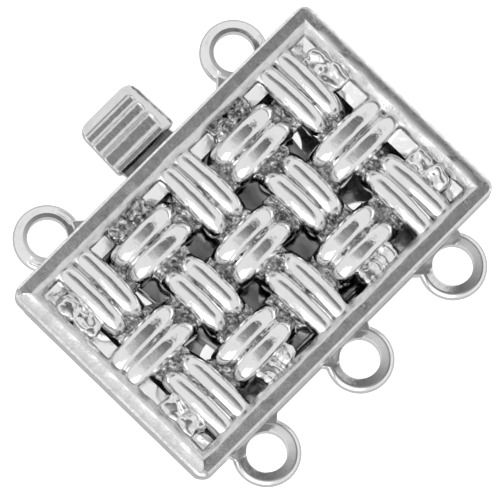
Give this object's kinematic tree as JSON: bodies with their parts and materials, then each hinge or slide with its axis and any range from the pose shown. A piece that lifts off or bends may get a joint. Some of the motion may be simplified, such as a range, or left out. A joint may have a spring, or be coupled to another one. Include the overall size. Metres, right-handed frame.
{
  "type": "box clasp",
  "caption": "Multi-strand box clasp: pierced basket-weave cast top on a slotted case, spring tongue with ribbed thumb tab, and rows of stringing rings on both long sides.",
  "frame": {"origin": "centre of the whole closed clasp's footprint, on the plane that its back rests on", "axes": "+X along the clasp's long side, +Y out of the tongue side, +Z out of the woven face"},
  "size_m": [0.0264, 0.0247, 0.005],
  "materials": {
    "top_plating": "bright white plating over a polished casting",
    "case_plating": "bright white plating over sheet",
    "tongue_plating": "bright white plating over sheet",
    "leaf_plating": "bright white plating over spring sheet",
    "tab_plating": "bright white plating over a polished casting"
  },
  "bodies": {
    "case": {"woven_top": "top_plating", "case_box": "case_plating"},
    "tongue": {"tongue": "tongue_plating"},
    "leaf": {"spring_leaf": "leaf_plating", "thumb_tab": "tab_plating"}
  },
  "joints": [
    {"name": "tongue_slide", "type": "slide", "parent": "case", "child": "tongue", "axis": [0, 1, 0], "range_m": [0, 0.0155], "deforming": ["spring_leaf"]},
    {"name": "leaf_press", "type": "hinge", "parent": "tongue", "child": "leaf", "pos_m": [0, -0.00698, 0.0013], "axis": [-1, 0, 0], "range_deg": [0, 2.3], "stiffness_Nm_per_rad": 0.5}
  ]
}
